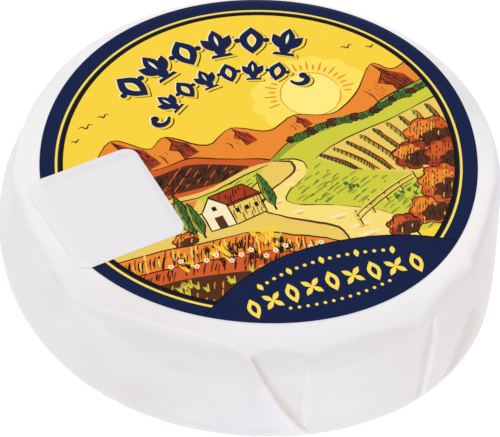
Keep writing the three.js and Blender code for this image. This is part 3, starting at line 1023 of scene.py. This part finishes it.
def near_hills():
    low = [(-36, 1), (-29, 3.6), (-23, 4.6), (-17, 2.6), (-11, 2.8), (-6, 0.6), (-1, -1.4), (2, -3)]
    hill("rust", low, -12)
    wood = curve([(-24, 3.6), (-18, 1.4), (-12, 1.6), (-7, -0.2), (-3, -2.2)])
    wood += curve([(-4, -3.8), (-12, -3.6), (-19, -2.8), (-27, -0.8)])
    field("brown", wood)
    hatch("ink", wood, 40, 0.4, 0.24, 0.9, 1.6)
    hatch("rust", wood, 40, 1.3, 0.22, 0.6, 1.4)
    slope = curve([(-30, 2.6), (-20, 0.2), (-14, -3), (-20, -5), (-31, -2)], 4)
    hatch("brick", slope, 28, 0.5, 0.3, 0.75, 2.4)
    hatch("ink", slope, 28, 1.4, 0.2, 0.5, 1.8)
    hill("olive", [(0.5, -2.4), (6, 0.6), (12, 2), (18, 1.2), (24, 3.8), (30, 5.2), (36, 7)], -14)
    crest = curve([(2, -2.6), (8, -0.2), (15, 0.6), (22, 1.2), (29, 3.6), (36, 4.6)])
    field("lime", crest + [(36, -14), (2, -14)])
    hedge([(5, 0.2), (13, 1.4), (20, 1.4), (27, 3.4), (35, 4.6)], 0.95, 1.3)


def plain():
    """The valley's floor in fields parted by hedges."""
    crest = curve([(-36, -4), (-24, -3.2), (-12, -4.4), (-3, -2.6), (4, -3.2)])
    field("straw", crest + [(10, -30), (-36, -30)])
    ploughed = [(-36, -5.4), (-24, -4.6), (-13, -5.6), (-15.5, -8.6), (-25, -8.4), (-36, -9.6)]
    field("orange", ploughed)
    hatch("brick", ploughed, 12, 0.55, 0.26, 0.9, 3.2)
    hatch("ink", ploughed, 12, 1.5, 0.18, 0.5, 2.2)
    grass = curve([(-13, -5.4), (-6, -4.2), (-1, -3.4)]) + curve([(-2.4, -5.6), (-7, -7.6), (-12.2, -8.2)])
    field("lime", grass)
    hatch("green", grass, 20, 0.7, 0.2, 0.6, 1.4)
    pen(curve([(-36, -5.2), (-24, -4.3), (-13, -5.3), (-6, -4.1), (0, -3.1)]), 0.3, 0.12)
    pen(curve([(-25, -8.6), (-14, -8.6), (-7, -7.7), (-2, -5.5)]), 0.3, 0.12)
    hedge([(-35, -9.4), (-26, -8.6), (-15, -8.4)], 1.05, 1.7)


def vineyard():
    """Rows of vines on the right, closer together as they run back."""
    crest = curve([(7.5, -4.6), (14, -2.4), (22, -1.2), (30, 0.8), (36, 2)])
    field("straw", crest + [(36, -20)] + curve([(30, -17), (22, -13.5), (14, -9.6)], 4))
    for i in range(11):
        t = i / 10
        near = (13 + 22 * t ** 0.9, -9.2 - 10.5 * t + 4.2 * t * t)
        far = (8.6 + 26 * t, -4.2 + 5.4 * t)
        line = np.array(curve([near, ((near[0] + far[0]) / 2 + 0.7, (near[1] + far[1]) / 2 - 0.4), far], 7))
        stroke("olive" if i % 2 else "green", line, 1.1 - 0.3 * t, 0.55)
        stroke("rust", line + [0.45, -0.25], 0.5, 0.4)
        pen((line + [0.62, -0.36]).tolist(), 0.24, 0.1)
        for x, y in line[1:-1]:
            stroke("ink", [(x - 0.4, y - 0.4), (x - 0.1, y), (x + 0.05, y + 0.35)], 0.2, 0.4)
    pen(crest, 0.26, 0.1)


RIVER_LEFT = curve([
    (1, -2.6), (3.6, -4), (2.8, -6.2), (-2.2, -8.6), (-4.4, -11.8), (0.6, -15.6), (5.6, -19.6), (5, -27)], 6)
RIVER_RIGHT = curve([
    (1.9, -2.7), (5.2, -4.1), (5, -6.9), (0.8, -9.6), (0.4, -11.8), (6.8, -14.6), (14.2, -19.4),
    (17, -27)], 6)


def river():
    field("sand", RIVER_LEFT + RIVER_RIGHT[::-1])
    ripples = ((3.9, -5.4, 0.8), (1.5, -8.2, 1.4), (-1.6, -10.6, 1.6), (0.6, -13.6, 2.2), (6, -16.6, 3),
               (8.6, -19.4, 3.4), (9, -21.4, 3.6))
    for x, y, long in ripples:
        glint = [(x - 0.5 * long, y + 0.1), (x, y), (x + 0.5 * long, y + 0.05)]
        stroke("cream", shaky(glint, 0.06), 0.42, 0.2)
        shadow = [(x - 0.2 * long, y - 0.5), (x, y - 0.52), (x + 0.3 * long, y - 0.55)]
        stroke("orange", shaky(shadow, 0.06), 0.2, 0.4)
    pen(RIVER_LEFT, 0.5, 0.1, "brown")
    pen(RIVER_RIGHT, 0.3, 0.1)


def meadow():
    shape = curve([(6.2, -5), (9, -6.4), (13.6, -9.8), (20, -13.4), (30, -17.6)]) + [(30, -24), (17.2, -24)]
    shape += RIVER_RIGHT[-8:12:-1]
    field("lime", shape)
    hatch("olive", shape, 18, 0.8, 0.4, 0.5, 2.2)
    hatch("green", shape, 24, 1.2, 0.2, 0.45, 1.3)
    tufts("green", (11, -11.6), 2.6, 1.2, 6, 0.8)
    tufts("green", (18.5, -17.2), 3.4, 1.4, 8, 0.9)


def barn():
    """A small barn on the left bank, with its gable to the left, between poplars."""
    wall = [(-13.6, -12.6), (-13.6, -8.6), (-11.5, -6), (-9.4, -8.4), (-9.4, -12.8)]
    side = [(-9.4, -12.8), (-9.4, -8.4), (-3.9, -8), (-3.9, -12)]
    roof = [(-11.5, -5.8), (-9.1, -8.8), (-3.4, -8.3), (-5.6, -5.3)]
    poplar(-16.2, -12.6, 9.4, 2.2)
    poplar(-14.9, -12.8, 7.2, 1.8)
    for ink, shape in (("cream", wall), ("straw", side), ("brick", roof)):
        field(ink, shape)
    hatch("ink", roof, 72, 0.45, 0.18, 0.9, 1.7)
    hatch("brown", side, 84, 0.5, 0.18, 0.85, 1.6)
    field("brown", [(-12.2, -12.7), (-12.2, -10.2), (-10.8, -10.2), (-10.8, -12.7)])
    field("ink", [(-11.85, -8.9), (-11.85, -8), (-11.15, -8), (-11.15, -8.9)])
    for x in (-8.2, -6.6, -5):
        field("ink", [(x - 0.32, -10.6), (x - 0.32, -9.7), (x + 0.32, -9.65), (x + 0.32, -10.55)])
    for shape in (wall, side, roof):
        for a, b in zip(shape, shape[1:] + shape[:1]):
            stroke("ink", shaky([a, tuple(np.add(a, b) / 2), b], 0.04), 0.26, 0.6)
    poplar(-2.4, -11.6, 7.6, 1.9)
    bush(-17.9, -12.6, 1.9, 1.4)


def foreground():
    """A rough bank on the left, and bushes with a fence on the right."""
    bank = curve([
        (-36, -12.4), (-24, -12.9), (-15, -14.4), (-8, -15.2), (-2, -17.8), (3.4, -20.6), (7, -24)])
    low = curve([(-36, -16), (-24, -16.6), (-15, -18.2), (-7, -19.6), (0, -22.6), (4, -25)])
    dark = curve([(-30, -19), (-22, -19.6), (-14, -21.4), (-7, -23.4)]) + [(-7, -32), (-30, -32)]
    field("orange", bank + [(7, -32), (-36, -32)])
    field("rust", low + [(4, -32), (-36, -32)])
    field("brown", dark)
    pen(bank, 0.3, 0.12)
    pen(low, 0.26, 0.16)
    slope = bank + low[::-1]
    hatch("brick", slope, 70, 0.6, 0.32, 0.8, 1.8)
    hatch("brown", slope, 64, 0.9, 0.26, 0.6, 1.6)
    hatch("ink", slope, 66, 0.6, 0.26, 0.75, 2)
    hatch("straw", slope, 76, 1, 0.34, 0.7, 1.8)
    foot = low + dark[::-1]
    hatch("brown", foot, 58, 0.6, 0.3, 0.8, 1.8)
    hatch("ink", foot, 62, 0.55, 0.24, 0.85, 1.9)
    hatch("orange", dark, 66, 1.2, 0.26, 0.6, 1.5)
    tufts("sky", (-12, -18.2), 8, 2.2, 20, 1.9)
    tufts("ink", (-12, -18.6), 9, 2.2, 18, 1.5)
    tufts("lime", (-16, -23), 7, 1.8, 12, 1.5)
    for i in range(14):
        place = (-22 + 1.8 * i, -16.6 - 0.36 * i + 0.9 * math.sin(2.1 * i))
        field("cream", crown(place, 0.42, 0.42, 5, 0.2, i))
        dot("rust", place, 0.15)
    bush(27.5, -6.2, 4.2, 3.4)
    bush(23, -9.6, 3.4, 2.8, "orange", "brick")
    bush(28.6, -11.6, 4, 3.6, "rust", "brick", 9)
    bush(20.4, -20.6, 3.4, 2.8)
    bush(25.2, -16.8, 4.4, 3.8, "orange", "rust", 9)
    bush(14.8, -21.9, 2.6, 2, "rust", "brick")
    posts = [(8.6, -18.6), (11.4, -17.2), (14.4, -16), (17.6, -14.9), (20.8, -14)]
    for k, (x, y) in enumerate(posts):
        tall = 3.2 - 0.3 * k
        foot, knee, top = (y + up * tall for up in (-0.35, 0.2, 0.65))
        stroke("straw", [(x, foot), (x, knee), (x + 0.05, top)], 0.62, 0.85)
        stroke("ink", [(x + 0.3, foot), (x + 0.3, knee), (x + 0.32, top)], 0.24, 0.7)
    for up in (0.25, 1.1):
        rail = curve([(x, y + up * (1.15 - 0.05 * k)) for k, (x, y) in enumerate(posts)], 4)
        stroke("straw", rail, 0.46, 0.8)
        stroke("ink", shaky([(x, y - 0.26) for x, y in rail], 0.04), 0.2, 0.7)


def birds():
    wings = [(-1, 0.35), (-0.45, 0.5), (0, 0), (0.5, 0.55), (1, 0.3)]
    flock = ((-24, 15.4, 1.3), (-20.6, 16.6, 1), (-26.5, 13.2, 0.8), (22.5, 16.2, 1.1), (26.2, 15, 0.8))
    for x, y, size in flock:
        stroke("ink", curve([(x + a * size, y + b * size) for a, b in wings], 4), 0.26, 0.2)


def turned(flat, degrees):
    turn = math.radians(degrees)
    return flat @ np.array([[math.cos(turn), math.sin(turn)], [-math.sin(turn), math.cos(turn)]])


def leaf(ink, centre, angle, long, wide, layer=fields):
    """A pointed leaf about its middle."""
    side = np.array(curve([(-0.5, 0), (-0.2, 0.42), (0.15, 0.5), (0.5, 0)], 4)) * [long, wide]
    field(ink, turned(np.vstack([side, (side * [1, -1])[-2:0:-1]]), angle) + centre, layer)


def curl(ink, centre, size, way, angle, width):
    """A curl that winds in to a round end."""
    line = [polar(size * (1 - 0.72 * t), angle + way * 216 * t, centre) for t in np.linspace(0, 1, 15)]
    stroke(ink, line, width, 0.3)
    dot(ink, line[-1], 0.62 * width)


def flower(ink, middle, up, size, grow):
    """A motif of three leaves on a bud over a bar, standing along an arc."""
    across = polar(1, up - 90)
    along = polar(1, up)
    leaf(ink, middle + along * 0.14 * size, up, 0.78 * size + grow, 0.36 * size + grow)
    for side in (-1, 1):
        base = middle + across * side * 0.21 * size - along * 0.02 * size
        leaf(ink, base, up - side * 34, 0.66 * size + grow, 0.28 * size + grow)
    dot(ink, middle - along * 0.27 * size, 0.15 * size + grow / 2)
    half_bar = across * (0.3 * size + grow / 2)
    foot, head = (middle - along * (level * size + way * grow / 2) for level, way in ((0.5, 1), (0.39, -1)))
    field(ink, [foot - half_bar, foot + half_bar, head + 0.8 * half_bar, head - 0.8 * half_bar])


def lozenge(ink, middle, up, size, grow):
    """A motif of a tall lozenge between two dots."""
    leaf(ink, middle, up, size + grow, 0.6 * size + grow)
    for side in (-1, 1):
        dot(ink, middle + polar(1, up - 90) * side * 0.37 * size, 0.09 * size + grow / 2)


def garlands():
    """Two rows of motifs on arcs above the hills, navy with a pale edge and a thin offset shadow."""
    motifs = []
    rows = ((25.3, 13.2, 6.5, (lozenge, flower)), (18.2, 12.8, 4.5, (flower, lozenge)))
    for radius, step, size, pair in rows:
        for k in range(6):
            up = 90 + (2.5 - k) * step
            motifs.append((pair[k % 2], polar(radius, up), up, size))
    layers = (("ink", (0.42, -0.55), 0.1), ("sky", (0.26, -0.34), 0.14), ("cream", (-0.13, 0.13), 0.12),
              ("navy", (0, 0), 0))
    for ink, offset, grow in layers:
        for motif, place, up, size in motifs:
            motif(ink, place + offset, up, size, grow)
        for side in (-1, 1):
            curl(ink, polar(17.9, 90 - side * 45) + offset, 1.9, side, 180 if side > 0 else 0, 1.1 + grow)
    inner = {
        lozenge: (("cream", 0, 0.5, 0.22), ("sky", 0, 0.42, 0.15)),
        flower: (("cream", 0.12, 0.4, 0.07),),
    }
    for motif, place, up, size in motifs:
        for ink, ahead, long, wide in inner[motif]:
            leaf(ink, place + polar(ahead * size, up), up, long * size, wide * size)


def panel():
    """Plain ornament on the lower panel, in three rows that follow its curve."""
    for k in range(17):
        up = 90 + (k - 8) * 2.35
        place = polar(33.9, up, PANEL_CENTRE)
        if k % 4:
            dot("line", place, 0.3, panel_fields)
        else:
            leaf("line", place, up, 1.5, 0.8, panel_fields)
    for k in range(9):
        x = (k - 4) * 3.35
        place = (x, -28.1 - 0.006 * x * x)
        if k % 2:
            for lean in (45, 135, 225, 315):
                leaf("line", place + polar(0.95, lean), lean, 2, 0.8, panel_fields)
        else:
            leaf("line", place, 90, 3.9, 1.9, panel_fields)
            leaf("navy", place, 90, 1.9, 0.8, panel_fields)
    for k in range(13):
        x = (k - 6) * 1.35
        dot("line", (x, -31.7 + 0.012 * x * x), 0.27, panel_fields)


def print_fields():
    """Every field of the print in painting order, each with whether it is cut to the picture's circle."""
    for part in (sunrise, far_range, near_hills, plain, vineyard, river, meadow, barn, foreground, birds,
                 garlands, panel):
        part()
    rings = (("navy", LABEL_RADIUS + 1), ("line", LINE_RADIUS), ("navy", NAVY_RADIUS),
             ("black", BLACK_RADIUS), ("sky", PICTURE_RADIUS))
    layers = [(ink, circle((0, 0), radius), False) for ink, radius in rings]
    layers += [(ink, loop, True) for ink, loop in fields]
    for ink, radius in (("black", PANEL_RADIUS + PANEL_LINE), ("navy", PANEL_RADIUS)):
        layers.append((ink, circle(PANEL_CENTRE, radius, 2 * RING_SIDES), False))
    return layers + [(ink, loop, False) for ink, loop in panel_fields]


def grid(reach, gap):
    """Points of a triangular grid in a circle about the middle."""
    rows = np.arange(-reach, reach, gap * math.sqrt(3) / 2)
    points = [(x + (k % 2) * gap / 2, y) for k, y in enumerate(rows) for x in np.arange(-reach, reach, gap)]
    return np.array([p for p in points if math.hypot(*p) < reach])


def shown_sides(loop, in_picture):
    """Which sides of an outline can be seen: those that come within the label or the picture, and where
    the panel covers the picture, those that don't lie on it."""
    step = np.roll(loop, -1, axis=0) - loop
    size = np.maximum((step ** 2).sum(axis=1), 1e-12)
    t = np.clip(-(loop * step).sum(axis=1) / size, 0, 1)[:, None]
    shown = np.linalg.norm(loop + t * step, axis=1) < (PICTURE_RADIUS if in_picture else LABEL_RADIUS)
    if in_picture:
        under = np.linalg.norm(loop - PANEL_CENTRE, axis=1) < PANEL_RADIUS
        shown &= ~(under & np.roll(under, -1))
    return shown


def round_label():
    """The printed label, with one material for each ink."""
    centre = turned(-PRINT_OFFSET[None], -PRINT_TURN)[0]
    bend = [circle(centre, LABEL_RADIUS - inset, LABEL_RING_SIDES) for inset in LABEL_RINGS]
    layers = print_fields()
    cuts = [(loop, shown_sides(loop, in_picture)) for _, loop, in_picture in layers[1:]]
    reach = LABEL_RADIUS - GRID_INSET
    extra, inside = (np.vstack([grid(reach, gap), *bend]) for gap in (UPPER_GAP, LOWER_GAP))
    upper = planar(circle(centre, LABEL_RADIUS), cuts, extra)
    names = list(INKS)
    middles = upper[0][upper[1]].mean(axis=1)
    inks = np.full(len(middles), 1 + names.index(layers[0][0]))
    near_middle = np.hypot(middles[:, 0], middles[:, 1]) < PICTURE_RADIUS
    for ink, loop, in_picture in layers[1:]:
        near = ((middles > loop.min(axis=0)) & (middles < loop.max(axis=0))).all(axis=1)
        if in_picture:
            near &= near_middle
        found = np.flatnonzero(near)
        inks[found[within(middles[found], loop)]] = 1 + names.index(ink)

    def place(flat, up):
        spot = turned(flat, PRINT_TURN) + PRINT_OFFSET
        angle = np.arctan2(spot[:, 1], spot[:, 0])
        spot = spot * (1 + waves(LABEL_WAVES, angle, 3) / LABEL_RADIUS)[:, None]
        return laid_points(spot + LABEL_CENTRE, SHEET_GAP + (SHEET_THICKNESS if up else 0))

    bare = paper_material("label back", PAPER_COLOUR, roughness=0.6, fibre=1500, height=0.04)
    ink_look = dict(roughness=0.42, fibre=2200, height=0.02, gloss=0.06)
    printed = [paper_material("print " + name, INKS[name], **ink_look) for name in names]
    piece = sheet("printed_label", upper, inside, place, [bare, *printed], inks)
    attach(piece, "root")
    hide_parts("round_label")


def spaced(loop):
    """A closed outline with extra points along its long sides."""
    points = []
    for a, b in zip(loop, np.roll(loop, -1, axis=0)):
        parts = max(1, round(np.linalg.norm(b - a) / SIDE_GAP))
        points += [a + (b - a) * k / parts for k in range(parts)]
    return np.array(points)


def rounded_box(inset):
    """The sticker's outline, pulled in by inset."""
    radius = STICKER_CORNER - inset
    points = []
    for k, sides in enumerate([(1, 1), (-1, 1), (-1, -1), (1, -1)]):
        corner = sides * (STICKER_SIZE / 2 - inset - radius)
        for i in range(CORNER_PARTS + 1):
            turn = math.pi / 2 * (k + i / CORNER_PARTS)
            points.append((corner[0] + radius * math.cos(turn), corner[1] + radius * math.sin(turn)))
    return spaced(np.array(points))


HALF_STICKER = STICKER_SIZE / 2
MIDDLE_TOP = HALF_STICKER[1] - MARGIN_TOP
MIDDLE_BOTTOM = MARGIN_BOTTOM - HALF_STICKER[1]


def middle_part(grown):
    """The line round the sticker's middle part, moved out by grown."""
    left = MARGIN_LEFT - HALF_STICKER[0]
    line = [(left, MIDDLE_TOP + grown)]
    for margin, y, start in ((MARGIN_RIGHT[0], MIDDLE_TOP, 90), (MARGIN_RIGHT[1], MIDDLE_BOTTOM, 0)):
        corner = (HALF_STICKER[0] - margin - MARGIN_CORNER, y + MARGIN_CORNER * (-1 if start else 1))
        line += [polar(MARGIN_CORNER + grown, start - 15 * k, corner) for k in range(7)]
    line.append((left, MIDDLE_BOTTOM - grown))
    return spaced(np.array(line))


def margin_strength(flat):
    """How strongly the sticker's margins show: most beside the middle part, less on the left and below."""
    across, along = flat.T
    margin = mix(*MARGIN_RIGHT[::-1], share(along, MIDDLE_BOTTOM, MIDDLE_TOP))
    below = MIDDLE_BOTTOM - along
    x = across - HALF_STICKER[0] + margin + MARGIN_CORNER
    y = np.maximum(along - MIDDLE_TOP, below) + MARGIN_CORNER
    out = np.hypot(np.maximum(x, 0), np.maximum(y, 0)) + np.minimum(np.maximum(x, y), 0) - MARGIN_CORNER
    fading = mix(LEFT_MARGIN, 1, share(across, -LEFT_FADE * HALF_STICKER[0], LEFT_FADE * HALF_STICKER[0]))
    fading *= mix(1, LOW_MARGIN, smooth(below, *LOW_FADE))
    fading *= mix(1, OUTER_MARGIN, share(out, *OUTER_FADE))
    return smooth(out, -MARGIN_BLUR, MARGIN_BLUR) * fading


def sticker_spot(flat):
    """Where points of the flat sticker lie on the wheel, seen from above, before it is bent."""
    lean = mix(*STICKER_LEAN, flat[:, 0] / STICKER_SIZE[0] + 0.5)
    leaning = np.column_stack([flat[:, 0] + lean * flat[:, 1], flat[:, 1]])
    return turned(leaning, STICKER_TURN) + STICKER_CENTRE


def past_label(spot, start, end):
    """How far points are past the label's edge, from 0 to 1 between two distances beyond it."""
    return smooth(np.linalg.norm(spot - LABEL_CENTRE, axis=1), LABEL_RADIUS + start, LABEL_RADIUS + end)


def square_sticker():
    """The blank sticker, which laps over the label's edge onto the paper."""
    inner = [rounded_box(inset) for inset in STICKER_RINGS]
    inner += [middle_part(grown) for grown in (MARGIN_BLUR, -MARGIN_BLUR)]
    lines = [(loop, np.ones(len(loop), dtype=bool)) for loop in inner]
    inside = grid(np.linalg.norm(STICKER_SIZE) / 2, STICKER_GAP)
    inside = inside[within(inside, inner[1])]
    upper = planar(rounded_box(0), lines, inside)

    def place(flat, up):
        spot = sticker_spot(flat)
        label = (1 - past_label(spot, *COMING_DOWN)) * (SHEET_GAP + SHEET_THICKNESS)
        return laid_points(spot, SHEET_GAP + label + (SHEET_THICKNESS if up else 0))

    paper = paper_material("sticker paper", STICKER_COLOUR, roughness=0.42, fibre=1800, height=0.02,
                           tones=STICKER_TONES)
    piece = sheet("blank_sticker", upper, inside, place, [paper], np.zeros(len(upper[1]), dtype=int))
    off_label = past_label(sticker_spot(upper[0]), *TONE_CHANGE)
    rest = np.zeros(len(piece.data.vertices) - len(off_label))
    mark(piece, "margin", np.concatenate([margin_strength(upper[0]) * (1 - off_label), rest]))
    mark(piece, "bright", np.concatenate([off_label, rest]))
    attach(piece, "root")
    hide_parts("square_sticker")


def studio():
    """A pale floor, soft light from all sides and the lamps."""
    reach = FLOOR_REACH
    mesh = bpy.data.meshes.new("floor")
    corners = [(-reach, -reach, 0), (reach, -reach, 0), (reach, reach, 0), (-reach, reach, 0)]
    mesh.from_pydata(corners, [], [(0, 1, 2, 3)])
    material, _ = new_material("floor", {
        "Base Color": FLOOR_COLOUR, "Roughness": 0.9, "Specular IOR Level": 0.1, "Emission Color": WHITE,
        "Emission Strength": FLOOR_GLOW})
    mesh.materials.append(material)
    placed("floor", mesh)
    world = bpy.data.worlds.new("studio")
    world.use_nodes = True
    settle(world.node_tree.nodes["Background"], {"Color": WHITE, "Strength": WORLD_LIGHT})
    bpy.context.scene.world = world
    for lamp in LAMPS:
        add_lamp(*lamp)


def add_lamp(name, place, size, power, colour):
    """A square area lamp that faces the part."""
    light = bpy.data.lights.new(name, "AREA")
    light.size = size
    light.energy = power
    light.color = colour
    holder = placed(name, light)
    holder.location = place
    holder.rotation_euler = (-Vector(place)).to_track_quat("-Z", "Y").to_euler()


def camera():
    """The camera at the photograph's angle."""
    tilt = math.radians(CAMERA_ELEVATION)
    roll = math.radians(CAMERA_ROLL)
    back = np.array([0, -math.cos(tilt), math.sin(tilt)])
    level = np.array([1, 0, 0])
    rise = np.array([0, math.sin(tilt), math.cos(tilt)])
    right = math.cos(roll) * level + math.sin(roll) * rise
    up = math.cos(roll) * rise - math.sin(roll) * level
    eye = (CAMERA_TARGET + SHIFT + CAMERA_DISTANCE * back) * MM
    data = bpy.data.cameras.new("camera")
    data.sensor_width = SENSOR_WIDTH
    data.lens = FOCAL_PIXELS / IMAGE_WIDTH * SENSOR_WIDTH
    holder = placed("camera", data)
    holder.matrix_world = Matrix([*np.column_stack([right, up, back, eye]), (0, 0, 0, 1)])
    bpy.context.scene.camera = holder


bpy.context.scene.view_settings.view_transform = "Standard"
camera()
studio()
wrapping()
round_label()
square_sticker()
